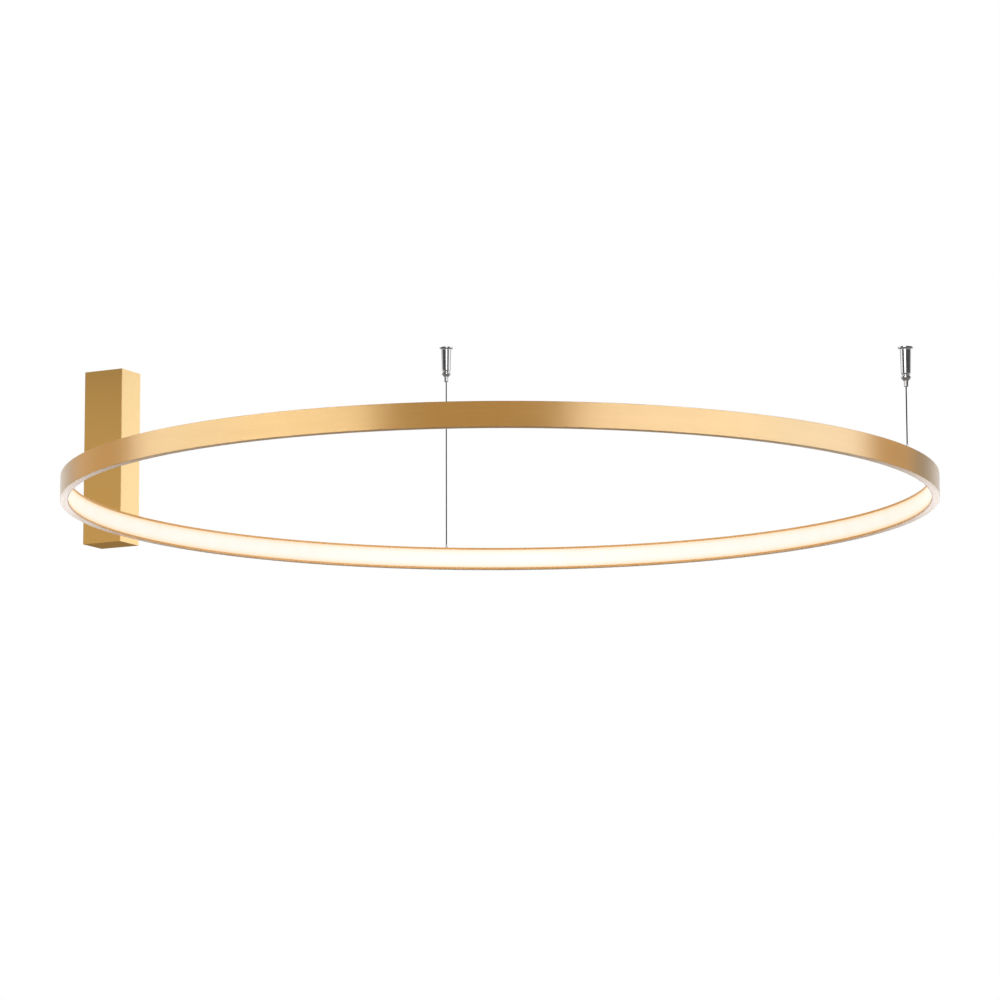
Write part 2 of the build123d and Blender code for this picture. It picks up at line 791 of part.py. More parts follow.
# Screws that hold the block to the carrier
with BuildPart() as terminal_fixings:
    with BuildSketch(front_plane(terminal_front_x)):
        with Locations(*fixing_spots):
            Circle(fixing_head_radius)
    extrude(amount=fixing_head_height)
    with BuildSketch(front_plane(terminal_front_x + fixing_head_height)):
        with Locations(*fixing_spots):
            Circle(fixing_radius)
    extrude(amount=inner_x - terminal_front_x - fixing_head_height - fit_gap)
    with BuildSketch(front_plane(terminal_front_x)):
        with Locations(*fixing_spots):
            Rectangle(4 * fixing_head_radius, clamp_screw_slot)
    extrude(amount=clamp_screw_slot, mode=Mode.SUBTRACT)
terminal_fixings.part.label = "terminal_fixings"
export_step(terminal_fixings.part, "parts/terminal_fixings.step")

# Driver base: a tray with ears, posts for the board and holes for the wires
board_screw_spots = [
    (y, driver_z + z)
    for y in (-board_screw_y, board_screw_y)
    for z in (-board_screw_z, board_screw_z)
]
wire_entry_spots = [(clamp_x, -pole_pitch), (clamp_x, 0)]
with BuildPart() as driver_base:
    with BuildSketch(front_plane(carrier_face_x)):
        with Locations((0, driver_z)):
            RectangleRounded(driver_width, driver_length, driver_edge)
    extrude(amount=-driver_base_depth)
    with BuildSketch(front_plane(carrier_face_x - driver_wall)):
        with Locations((0, driver_z)):
            Rectangle(driver_inner_width, driver_inner_length)
    extrude(amount=-driver_base_depth, mode=Mode.SUBTRACT)
    with BuildSketch(front_plane(carrier_face_x)):
        with Locations((0, driver_z)):
            RectangleRounded(ear_width, driver_length + 2 * ear_length, driver_edge)
        with Locations(*driver_screw_spots):
            Circle(driver_screw_radius + 4 * fit_gap, mode=Mode.SUBTRACT)
    extrude(amount=-driver_wall)
    with BuildSketch(front_plane(carrier_face_x - driver_wall)):
        with Locations(*board_screw_spots):
            Circle(post_radius)
            Circle(board_screw_radius + fit_gap, mode=Mode.SUBTRACT)
    extrude(amount=-post_height)
    with BuildSketch(Plane.XY.offset(-driver_top)):
        with Locations(*wire_entry_spots):
            Circle(mains_wire_radius + 3 * fit_gap)
    extrude(amount=-driver_wall, mode=Mode.SUBTRACT)
    with BuildSketch(Plane.XY.offset(-driver_top - driver_length)):
        with Locations((clamp_x, 0)):
            Circle(lead_spacing / 2 + lead_radius + 3 * fit_gap)
    extrude(amount=driver_wall, mode=Mode.SUBTRACT)
driver_base.part.label = "driver_base"
export_step(driver_base.part, "parts/driver_base.step")

# Driver lid, which snaps in by a rib along each long side
with BuildPart() as driver_lid:
    with BuildSketch(front_plane(split_x)):
        with Locations((0, driver_z)):
            RectangleRounded(driver_width, driver_length, driver_edge)
    extrude(amount=-driver_lid_depth)
    with BuildSketch(front_plane(split_x)):
        with Locations((0, driver_z)):
            Rectangle(driver_inner_width, driver_inner_length)
    extrude(amount=-driver_lid_depth + driver_wall, mode=Mode.SUBTRACT)
    rib_y = driver_inner_width / 2 - fit_gap - lid_rib_thickness / 2
    with Locations((split_x, -rib_y, driver_z), (split_x, rib_y, driver_z)):
        Box(
            2 * lid_rib_reach,
            lid_rib_thickness,
            driver_inner_length - 2 * lid_rib_end_gap,
        )
    with Locations(
        (split_x - lid_rib_reach / 2, -rib_y, driver_z),
        (split_x - lid_rib_reach / 2, rib_y, driver_z),
    ):
        Box(
            lid_rib_reach,
            lid_rib_thickness + 2 * fit_gap,
            driver_inner_length - 2 * lid_rib_end_gap,
        )
driver_lid.part.label = "driver_lid"
export_step(driver_lid.part, "parts/driver_lid.step")

# Printed board on the four posts
with BuildPart() as driver_board:
    with BuildSketch(front_plane(board_back_x)):
        with Locations((0, driver_z)):
            Rectangle(board_width, board_length)
        with Locations(*board_screw_spots):
            Circle(board_screw_radius + 2 * fit_gap, mode=Mode.SUBTRACT)
    extrude(amount=-board_thickness)
driver_board.part.label = "driver_board"
export_step(driver_board.part, "parts/driver_board.step")

# Screws through the board into the posts
with BuildPart() as board_screws:
    with BuildSketch(front_plane(board_face_x)):
        with Locations(*board_screw_spots):
            Circle(board_screw_head)
    extrude(amount=-board_screw_head_height)
    with BuildSketch(front_plane(board_face_x)):
        with Locations(*board_screw_spots):
            Circle(board_screw_radius)
    extrude(amount=board_screw_length)
board_screws.part.label = "board_screws"
export_step(board_screws.part, "parts/board_screws.step")

# Transformer: bobbin foot with pins, ferrite core and winding
core_back_x = board_face_x - bobbin_thickness
core_x = core_back_x - core_height / 2
window_length = (core_length - core_leg - 2 * core_outer_leg) / 2
window_height = core_height - 2 * core_yoke
window_z = core_leg / 2 + window_length / 2
with BuildPart() as transformer_bobbin:
    with BuildSketch(front_plane(board_face_x)):
        with Locations((0, driver_z)):
            RectangleRounded(winding_width, bobbin_length, bobbin_corner)
    extrude(amount=-bobbin_thickness)
transformer_bobbin.part.label = "transformer_bobbin"
export_step(transformer_bobbin.part, "parts/transformer_bobbin.step")

with BuildPart() as transformer_core:
    with Locations((core_x, 0, driver_z)):
        Box(core_height, core_thickness, core_length)
    with Locations((core_x, 0, driver_z - window_z), (core_x, 0, driver_z + window_z)):
        Box(window_height, core_thickness, window_length, mode=Mode.SUBTRACT)
transformer_core.part.label = "transformer_core"
export_step(transformer_core.part, "parts/transformer_core.step")

with BuildPart() as transformer_winding:
    with BuildSketch(front_plane(core_x)):
        with Locations((0, driver_z)):
            RectangleRounded(
                winding_width,
                core_leg + 2 * window_length - 2 * fit_gap,
                winding_edge,
            )
            Rectangle(
                core_thickness + 2 * fit_gap,
                core_leg + 2 * fit_gap,
                mode=Mode.SUBTRACT,
            )
    extrude(amount=window_height / 2 - fit_gap, both=True)
transformer_winding.part.label = "transformer_winding"
export_step(transformer_winding.part, "parts/transformer_winding.step")

# Can capacitors standing on the board, the mains one wider than the two output ones
cans = [
    (mains_capacitor_radius, mains_capacitor_place),
    (output_capacitor_radius, first_output_capacitor_place),
    (output_capacitor_radius, second_output_capacitor_place),
]
with BuildPart() as driver_capacitors:
    for can_radius, (can_y, can_z) in cans:
        with BuildSketch(front_plane(board_face_x)):
            with Locations((can_y, driver_z + can_z)):
                Circle(can_radius)
        extrude(amount=-capacitor_height)
    chamfer(driver_capacitors.faces().filter_by(Axis.X).edges(), capacitor_groove)
driver_capacitors.part.label = "driver_capacitors"
export_step(driver_capacitors.part, "parts/driver_capacitors.step")

# Wound ring choke lying on the board
with BuildPart() as driver_choke:
    with BuildSketch(
        Plane(
            origin=(board_face_x - choke_wire_radius, choke_y, driver_z + choke_z),
            x_dir=(0, 0, 1),
            z_dir=(0, 1, 0),
        )
    ):
        with Locations((choke_ring_radius, 0)):
            Circle(choke_wire_radius)
    revolve(
        axis=Axis((board_face_x - choke_wire_radius, choke_y, driver_z + choke_z), (1, 0, 0))
    )
driver_choke.part.label = "driver_choke"
export_step(driver_choke.part, "parts/driver_choke.step")

# Small moulded parts soldered on the board
small_parts = [
    film_capacitor,
    bridge_rectifier,
    switch_transistor,
    controller_chip,
    output_diode,
    output_chip,
]
with BuildPart() as driver_chips:
    for part_y, part_z, part_width, part_length, part_height in small_parts:
        with BuildSketch(front_plane(board_face_x)):
            with Locations((part_y, driver_z + part_z)):
                Rectangle(part_width, part_length)
        extrude(amount=-part_height)
driver_chips.part.label = "driver_chips"
export_step(driver_chips.part, "parts/driver_chips.step")

# Screws through the driver's ears into the carrier
with BuildPart() as driver_screws:
    with BuildSketch(front_plane(carrier_face_x - driver_wall)):
        with Locations(*driver_screw_spots):
            Circle(driver_screw_head)
    extrude(amount=-driver_screw_head_height)
    with BuildSketch(front_plane(carrier_face_x - driver_wall)):
        with Locations(*driver_screw_spots):
            Circle(driver_screw_radius)
    extrude(amount=driver_wall + carrier_thickness - fit_gap)
driver_screws.part.label = "driver_screws"
export_step(driver_screws.part, "parts/driver_screws.step")

# Wires inside the box: corner points, radius of the wire and radius of its bends
solder_x = board_face_x - fit_gap
lead_lane_x = ring_x - strip_inner_radius + lead_radius + lead_to_strip
mains_landing_z = -driver_top - mains_landing_inset
lead_landing_z = -driver_top - driver_length + lead_landing_inset
wire_routes = {
    "wire_live": (
        [
            (clamp_x, -pole_pitch, terminal_z),
            (clamp_x, -pole_pitch, mains_landing_z),
            (solder_x, -pole_pitch, mains_landing_z),
        ],
        mains_wire_radius,
        mains_wire_bend,
    ),
    "wire_neutral": (
        [
            (clamp_x, 0, terminal_z),
            (clamp_x, 0, mains_landing_z),
            (solder_x, 0, mains_landing_z),
        ],
        mains_wire_radius,
        mains_wire_bend,
    ),
    "wire_earth": (
        [
            (clamp_x, earth_y, terminal_z),
            (clamp_x, earth_y, tag_barrel_z),
            (carrier_face_x - earth_tag_thickness - fit_gap, earth_y, tag_barrel_z),
        ],
        mains_wire_radius,
        mains_wire_bend,
    ),
    "wire_positive": (
        [
            (solder_x, lead_spacing / 2, lead_landing_z),
            (clamp_x, lead_spacing / 2, lead_landing_z),
            (clamp_x, lead_spacing / 2, ring_z),
            (lead_lane_x, lead_spacing / 2, ring_z),
            (lead_lane_x, lead_reach, ring_z),
        ],
        lead_radius,
        lead_bend,
    ),
    "wire_negative": (
        [
            (solder_x, -lead_spacing / 2, lead_landing_z),
            (clamp_x, -lead_spacing / 2, lead_landing_z),
            (clamp_x, -lead_spacing / 2, ring_z),
            (lead_lane_x, -lead_spacing / 2, ring_z),
            (lead_lane_x, -lead_reach, ring_z),
        ],
        lead_radius,
        lead_bend,
    ),
}
for wire_name, (wire_points, wire_radius, wire_bend) in wire_routes.items():
    with BuildPart() as wire:
        with BuildLine() as wire_route:
            FilletPolyline(*wire_points, radius=wire_bend)
        with BuildSketch(Plane(origin=wire_route.line @ 0, z_dir=wire_route.line % 0)):
            Circle(wire_radius)
        sweep()
    wire.part.label = wire_name
    export_step(wire.part, f"parts/{wire_name}.step")

# Heights inside the gripper that follow from its sizes
body_top = cup_length - thread_length
cup_lip_radius = cup_cavity_radius + cup_lip
neck_radius = cup_cavity_radius + neck_step
neck_foot = cup_length + neck_length
collar_top = neck_foot + collar_bevel
collar_foot = collar_top + collar_band
nose = collar_foot + nose_length
guide_top = nose - guide_length
cone_top = guide_top - cone_length
ball_orbit = cable_radius + ball_cable_gap + ball_radius
ball_cone_radius = ball_orbit + (ball_radius + ball_cone_gap) / cos(atan(cone_slope))
ball_drop = guide_top - ball_lift
guide_radius = ball_cone_radius - cone_slope * ball_lift
nose_radius = guide_radius + nose_wall
body_bore_radius = guide_radius + cone_slope * cone_length
thread_radius = cup_cavity_radius - fit_gap
plunger_radius = guide_radius - plunger_gap
plunger_bore_radius = cable_radius + cable_clearance
plunger_tip = nose + plunger_reach
shoulder_foot = guide_top - shoulder_lift
shoulder_top = shoulder_foot - shoulder_thickness
shoulder_radius = guide_radius + cone_slope * shoulder_lift - shoulder_gap
bush_bore_radius = cable_radius + cable_clearance
cap_foot = body_top + spring_cap_thickness
spring_room = shoulder_top - cap_foot
spring_height = spring_room - 2 * spring_wire_radius - 2 * fit_gap
lip_under_z = ring_z + cavity_height / 2
ferrule_top_z = lip_under_z - bush_flange_thickness - fit_gap
cable_foot_z = ferrule_top_z - ferrule_length + ferrule_floor + cable_end_gap

for side in ("a", "b"):
    spot_x, spot_y = cable_spots[side]
    flange_z = flange_heights[side]
    hang_axis = Axis((spot_x, spot_y, flange_z), (0, 0, 1))

    # Taut steel cable, from the ferrule in the ring up into the gripper
    with BuildPart() as cable:
        with BuildSketch(Plane(origin=(spot_x, spot_y, cable_foot_z))):
            Circle(cable_radius)
        extrude(amount=flange_z - body_top + cable_tail - cable_foot_z)
    cable.part.label = f"cable_{side}"
    export_step(cable.part, f"parts/cable_{side}.step")

    # Bush in the ring's top wall, its flange inside and its nose above
    with BuildPart() as cable_bush:
        with BuildSketch(turning_plane(spot_x, spot_y, lip_under_z)):
            with BuildLine():
                Polyline(
                    (bush_bore_radius, -bush_flange_thickness),
                    (bush_flange_radius, -bush_flange_thickness),
                    (bush_flange_radius, 0),
                    (bush_radius, 0),
                    (bush_radius, ring_lip + bush_collar),
                    (bush_bore_radius + bush_nose_wall, ring_lip + bush_rise),
                    (bush_bore_radius, ring_lip + bush_rise),
                    close=True,
                )
            make_face()
        revolve(axis=hang_axis)
    cable_bush.part.label = f"cable_bush_{side}"
    export_step(cable_bush.part, f"parts/cable_bush_{side}.step")

    # Crimped stop on the cable's lower end
    with BuildPart() as cable_ferrule:
        with BuildSketch(Plane(origin=(spot_x, spot_y, ferrule_top_z))):
            Circle(ferrule_radius)
        extrude(amount=-ferrule_length)
        chamfer(cable_ferrule.faces().filter_by(Axis.Z).edges(), ferrule_edge)
        with BuildSketch(Plane(origin=(spot_x, spot_y, ferrule_top_z))):
            Circle(cable_radius + crimp_gap)
        extrude(amount=-ferrule_length + ferrule_floor, mode=Mode.SUBTRACT)
    cable_ferrule.part.label = f"cable_ferrule_{side}"
    export_step(cable_ferrule.part, f"parts/cable_ferrule_{side}.step")

    # Ceiling cup: flange, flare and sleeve, hollow below its screw hole
    with BuildPart() as ceiling_cup:
        with BuildSketch(turning_plane(spot_x, spot_y, flange_z)):
            with BuildLine():
                Polyline(
                    (sleeve_top_radius, -flange_thickness - flare_radius),
                    (sleeve_foot_radius, cup_bevel - cup_length),
                    (cup_lip_radius, -cup_length),
                    (cup_cavity_radius, -cup_length),
                    (cup_cavity_radius, cup_screw_radius - cup_cavity_radius - flange_thickness),
                    (cup_screw_radius, -flange_thickness),
                    (cup_screw_radius, 0),
                    (flange_radius, 0),
                    (flange_radius, -flange_thickness),
                )
                TangentArc(
                    (flange_radius, -flange_thickness),
                    (sleeve_top_radius, -flange_thickness - flare_radius),
                    tangent=(-1, 0),
                )
            make_face()
        revolve(axis=hang_axis)
    ceiling_cup.part.label = f"ceiling_cup_{side}"
    export_step(ceiling_cup.part, f"parts/ceiling_cup_{side}.step")

    # Gripper body: thread in the cup, collar and nose below it, gripping cone inside
    with BuildPart() as gripper_body:
        with BuildSketch(turning_plane(spot_x, spot_y, flange_z)):
            with BuildLine():
                Polyline(
                    (body_bore_radius, -body_top),
                    (thread_radius, -body_top),
                    (thread_radius, -cup_length),
                    (neck_radius, -cup_length),
                    (neck_radius, -neck_foot),
                    (collar_radius, -collar_top),
                    (collar_radius, -collar_foot),
                    (nose_radius, -nose),
                    (guide_radius, -nose),
                    (guide_radius, -guide_top),
                    (body_bore_radius, -cone_top),
                    close=True,
                )
            make_face()
        revolve(axis=hang_axis)
    gripper_body.part.label = f"gripper_body_{side}"
    export_step(gripper_body.part, f"parts/gripper_body_{side}.step")

    # Cap in the top of the body that the spring pushes against
    with BuildPart() as spring_cap:
        with BuildSketch(Plane(origin=(spot_x, spot_y, flange_z - body_top))):
            Circle(body_bore_radius - fit_gap)
            Circle(cable_radius + cable_clearance, mode=Mode.SUBTRACT)
        extrude(amount=-spring_cap_thickness)
    spring_cap.part.label = f"spring_cap_{side}"
    export_step(spring_cap.part, f"parts/spring_cap_{side}.step")

    # Spring that pushes the balls down into the cone
    with BuildPart() as release_spring:
        with BuildLine() as coil:
            Helix(
                spring_height / spring_turns,
                spring_height,
                spring_radius,
                center=(spot_x, spot_y, flange_z - shoulder_top + spring_wire_radius + fit_gap),
            )
        with BuildSketch(Plane(origin=coil.line @ 0, z_dir=coil.line % 0)):
            Circle(spring_wire_radius)
        sweep(is_frenet=True)
    release_spring.part.label = f"release_spring_{side}"
    export_step(release_spring.part, f"parts/release_spring_{side}.step")

    # Plunger: nipple to push, shoulder inside and a hole for each ball
    with BuildPart() as release_plunger:
        with BuildSketch(turning_plane(spot_x, spot_y, flange_z)):
            with BuildLine():
                Polyline(
                    (plunger_bore_radius, -shoulder_top),
                    (shoulder_radius, -shoulder_top),
                    (shoulder_radius, -shoulder_foot),
                    (plunger_radius, -shoulder_foot),
                    (plunger_radius, -plunger_tip + plunger_edge),
                    (plunger_radius - plunger_edge, -plunger_tip),
                    (plunger_bore_radius, -plunger_tip),
                    close=True,
                )
            make_face()
        revolve(axis=hang_axis)
        with Locations((spot_x, spot_y, flange_z - ball_drop)):
            with PolarLocations(ball_orbit, ball_count):
                Cylinder(
                    ball_radius + fit_gap,
                    2 * (ball_radius + ball_wall_reach),
                    rotation=(0, 90, 0),
                    mode=Mode.SUBTRACT,
                )
    release_plunger.part.label = f"release_plunger_{side}"
    export_step(release_plunger.part, f"parts/release_plunger_{side}.step")

    # Balls between the cable and the cone
    with BuildPart() as grip_balls:
        with Locations((spot_x, spot_y, flange_z - ball_drop)):
            with PolarLocations(ball_orbit, ball_count):
                Sphere(ball_radius)
    grip_balls.part.label = f"grip_balls_{side}"
    export_step(grip_balls.part, f"parts/grip_balls_{side}.step")
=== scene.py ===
"""Camera, studio, cables and materials of the ring ceiling light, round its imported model."""
from math import cos, pi, radians, sin, sqrt

import bmesh
import bpy
from mathutils import Matrix, Vector


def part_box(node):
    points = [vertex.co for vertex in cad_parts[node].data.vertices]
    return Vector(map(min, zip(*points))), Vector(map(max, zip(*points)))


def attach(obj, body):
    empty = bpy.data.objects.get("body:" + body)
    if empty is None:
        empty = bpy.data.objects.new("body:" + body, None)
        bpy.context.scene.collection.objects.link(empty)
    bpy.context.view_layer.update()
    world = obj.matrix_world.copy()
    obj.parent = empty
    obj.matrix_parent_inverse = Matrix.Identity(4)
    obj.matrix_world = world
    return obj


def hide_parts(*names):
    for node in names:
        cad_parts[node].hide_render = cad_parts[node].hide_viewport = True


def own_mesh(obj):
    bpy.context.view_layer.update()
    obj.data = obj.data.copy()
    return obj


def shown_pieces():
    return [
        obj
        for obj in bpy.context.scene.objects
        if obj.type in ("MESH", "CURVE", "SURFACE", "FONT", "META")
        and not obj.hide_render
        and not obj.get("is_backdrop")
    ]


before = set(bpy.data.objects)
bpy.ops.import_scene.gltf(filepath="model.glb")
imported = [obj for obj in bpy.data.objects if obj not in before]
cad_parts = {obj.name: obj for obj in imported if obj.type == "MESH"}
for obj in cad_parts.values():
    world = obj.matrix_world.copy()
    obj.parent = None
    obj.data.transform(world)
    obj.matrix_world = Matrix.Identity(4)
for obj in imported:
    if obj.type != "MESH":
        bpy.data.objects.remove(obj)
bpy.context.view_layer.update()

# The photograph's viewpoint, in metres and degrees from the ring's centre
view_azimuth = radians(28.09)
view_drop = radians(9.507)
view_pitch = radians(9.426)
view_roll = radians(-0.182)
view_distance = 5.0
view_lens = 157.57
sensor_width = 36.0

# The cables, in metres
cable_diameter = 0.0015
cable_lay = 0.010
cable_strands = 6
strand_share = 0.34
strand_points = 6
cable_step = 0.0005

# The ring's section, in metres: depth of its lips, where the painted glow on their inner faces is
# full, and depth where that painted glow ends and the clear coat begins; and the glow's even half
# height and whole half height
lip_depth = 0.0088
coat_and_painted_glow_depth = 0.0080
even_glow = 0.002
whole_glow = 0.0113

# The floor, in metres: its tones go by the share of its reach, and the camera sees it nearly white
floor_drop = 4.0
floor_reach = 60.0
floor_tones = ((0.12, (0.30, 0.28, 0.26)), (0.34, (1.0, 1.0, 1.0)))
floor_seen = 0.3
floor_lift = 0.8

# The world: what polished metal mirrors, from behind the object to behind the camera, and the rest
mirrored_tones = ((0.015, 0.95), (0.10, 0.30), (0.25, 0.12), (0.72, 0.07))
other_tone = 0.62

# The lamps: usual rise in degrees, distance and height in metres, watts for a radiance of 1 from
# a square metre, and how far below the box's middle its lamps aim, in metres
panel_rise = 8
panel_distance = 2.6
panel_height = 2.2
panel_watts = 4
box_target_drop = 0.03
white = (1.0, 1.0, 1.0)
warm = (1.0, 0.72, 0.32)
amber = (1.0, 0.62, 0.18)

# The usual base colour of the ring and the box
gold = (0.83, 0.53, 0.19)

ring_low, ring_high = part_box("ring_profile")
ring_centre = (ring_low + ring_high) / 2
ring_radius = (ring_high.y - ring_low.y) / 2


def level_direction(azimuth):
    """The level direction at an azimuth that grows to the camera's right."""
    turned = view_azimuth + radians(azimuth)
    return Vector((sin(turned), -cos(turned), 0))


def aim_camera():
    """A camera with the photograph's place, pitch, roll and angle of view."""
    towards_camera = level_direction(0) * cos(view_drop) - Vector((0, 0, sin(view_drop)))
    forward = -level_direction(0) * cos(view_pitch) + Vector((0, 0, sin(view_pitch)))
    right = level_direction(90)
    up = right.cross(forward)
    across = cos(view_roll) * right + sin(view_roll) * up
    upward = cos(view_roll) * up - sin(view_roll) * right
    data = bpy.data.cameras.new("view")
    data.lens = view_lens
    data.sensor_width = sensor_width
    data.clip_start = 0.05
    data.clip_end = 200.0
    camera = bpy.data.objects.new("view", data)
    bpy.context.scene.collection.objects.link(camera)
    turned = Matrix((across, upward, -forward)).transposed().to_4x4()
    camera.matrix_world = Matrix.Translation(ring_centre + view_distance * towards_camera) @ turned
    bpy.context.scene.camera = camera


aim_camera()


class Paint:
    """A material in the making: its node tree and its main shader."""

    def __init__(self, name, colour, roughness, metallic=0.0):
        self.material = bpy.data.materials.new(name)
        self.material.use_nodes = True
        self.tree = self.material.node_tree
        self.shader = self.tree.nodes["Principled BSDF"]
        self.colour = colour
        self.set("Base Color", (*colour, 1.0))
        self.set("Roughness", roughness)
        self.set("Metallic", metallic)

    def set(self, socket, value):
        self.shader.inputs[socket].default_value = value

    def node(self, kind, **settings):
        made = self.tree.nodes.new(kind)
        for name, value in settings.items():
            setattr(made, name, value)
        return made

    def join(self, output, socket):
        self.tree.links.new(output, socket)

    def drive(self, socket, output):
        self.join(output, self.shader.inputs[socket])

    def math(self, operation, first, second=None):
        made = self.node("ShaderNodeMath", operation=operation)
        for socket, value in zip(made.inputs, (first, second)):
            if isinstance(value, (int, float)):
                socket.default_value = value
            elif value is not None:
                self.join(value, socket)
        return made.outputs[0]

    def coordinates(self):
        """A point's x, y and z in the object's frame, each as an output."""
        place = self.node("ShaderNodeTexCoord").outputs["Object"]
        split = self.node("ShaderNodeSeparateXYZ")
        self.join(place, split.inputs[0])
        return split.outputs

    def vector(self, *parts):
        made = self.node("ShaderNodeCombineXYZ")
        for socket, value in zip(made.inputs, parts):
            self.join(value, socket)
        return made.outputs[0]

    def from_axis(self):
        """A point's x and y from the ring's axis, and its distance from the axis, in metres."""
        x, y, _ = self.coordinates()
        from_x = self.math("SUBTRACT", x, ring_centre.x)
        from_y = self.math("SUBTRACT", y, ring_centre.y)
        squares = self.math(
            "ADD", self.math("MULTIPLY", from_x, from_x), self.math("MULTIPLY", from_y, from_y)
        )
        return from_x, from_y, self.math("SQRT", squares)

    def round_ring(self):
        """A point's distance along the ring, height and distance from the axis, in metres."""
        from_x, from_y, outward = self.from_axis()
        angle = self.math("ARCTAN2", from_y, from_x)
        return self.math("MULTIPLY", angle, ring_radius), self.coordinates()[2], outward

    def round_normal(self):
        """The surface normal, its level part turned to point straight from the ring's axis."""
        from_x, from_y, outward = self.from_axis()
        split = self.node("ShaderNodeSeparateXYZ")
        self.join(self.node("ShaderNodeTexCoord").outputs["Normal"], split.inputs[0])
        normal_x, normal_y, normal_z = split.outputs
        outwards = self.math(
            "ADD", self.math("MULTIPLY", normal_x, from_x), self.math("MULTIPLY", normal_y, from_y)
        )
        upright = self.math("MULTIPLY", normal_z, normal_z)
        level = self.math("SQRT", self.math("MAXIMUM", self.math("SUBTRACT", 1.0, upright), 0.0))
        signed = self.math("MULTIPLY", level, self.math("SIGN", outwards))
        share = self.math("DIVIDE", signed, outward)
        made = self.node("ShaderNodeVectorTransform", vector_type="NORMAL")
        made.convert_from = "OBJECT"
        made.convert_to = "WORLD"
        turned = self.vector(
            self.math("MULTIPLY", from_x, share), self.math("MULTIPLY", from_y, share), normal_z
        )
        self.join(turned, made.inputs[0])
        return made.outputs[0]

    def noise(self, scale, stretch=(1, 1, 1), vector=None, detail=4.0):
        """Noise with about that many spots to the metre, from 0 to 1."""
        mapping = self.node("ShaderNodeMapping")
        mapping.inputs["Scale"].default_value = stretch
        source = vector or self.node("ShaderNodeTexCoord").outputs["Object"]
        self.join(source, mapping.inputs["Vector"])
        made = self.node("ShaderNodeTexNoise")
        made.inputs["Scale"].default_value = scale
        made.inputs["Detail"].default_value = detail
        made.inputs["Roughness"].default_value = 0.55
        self.join(mapping.outputs[0], made.inputs["Vector"])
        return made.outputs["Fac"]

    def cells(self, scale):
        """Rounded cells with about that many to the metre."""
        made = self.node("ShaderNodeTexVoronoi", feature="F1")
        made.inputs["Scale"].default_value = scale
        self.join(self.node("ShaderNodeTexCoord").outputs["Object"], made.inputs["Vector"])
        return made.outputs["Distance"]

    def spread(self, factor, low, high, start=0.3, end=0.7):
        """A number that goes from low to high as the factor goes from start to end."""
        made = self.node("ShaderNodeMapRange")
        self.join(factor, made.inputs["Value"])
        limits = {"From Min": start, "From Max": end, "To Min": low, "To Max": high}
        for name, value in limits.items():
            made.inputs[name].default_value = value
        return made.outputs["Result"]

    def ramp(self, factor, *stops):
        """A colour that passes the stops, each a place and a colour, as the factor grows."""
        made = self.node("ShaderNodeValToRGB")
        self.join(factor, made.inputs["Fac"])
        elements = made.color_ramp.elements
        while len(elements) < len(stops):
            elements.new(0.5)
        for element, (place, colour) in zip(elements, stops):
            element.position = place
            element.color = (*colour, 1.0)
        return made.outputs["Color"]

    def tint(self, factor, low, high, start=0.3, end=0.7):
        """A colour that goes from low to high as the factor goes from start to end."""
        return self.ramp(factor, (start, low), (end, high))

    def mixed(self, factor, first, second):
        """The first colour where the factor is 0, the second where it is 1."""
        made = self.node("ShaderNodeMix", data_type="RGBA")
        self.join(factor, made.inputs["Factor"])
        for socket, value in ((made.inputs[6], first), (made.inputs[7], second)):
            if isinstance(value, tuple):
                socket.default_value = (*value, 1.0)
            else:
                self.join(value, socket)
        return made.outputs[2]

    def vary(self, factor, amount, start=0.3, end=0.7):
        """Lets the base colour go a share darker and lighter with the factor."""
        low = tuple(channel * (1 - amount) for channel in self.colour)
        high = tuple(min(1.0, channel * (1 + amount)) for channel in self.colour)
        output = self.tint(factor, low, high, start, end)
        self.drive("Base Color", output)
        return output

    def bump(self, height, distance, strength=1.0, under=None):
        """Raises the surface by up to that distance, over an earlier bump where one is given."""
        made = self.node("ShaderNodeBump")
        made.inputs["Strength"].default_value = strength
        made.inputs["Distance"].default_value = distance
        self.join(height, made.inputs["Height"])
        if under is not None:
            self.join(under, made.inputs["Normal"])
        self.drive("Normal", made.outputs[0])
        return made.outputs[0]


def facing(paint, axis):
    """The surface normal's part along an axis of the object's frame."""
    split = paint.node("ShaderNodeSeparateXYZ")
    paint.join(paint.node("ShaderNodeTexCoord").outputs["Normal"], split.inputs[0])
    return split.outputs[axis]


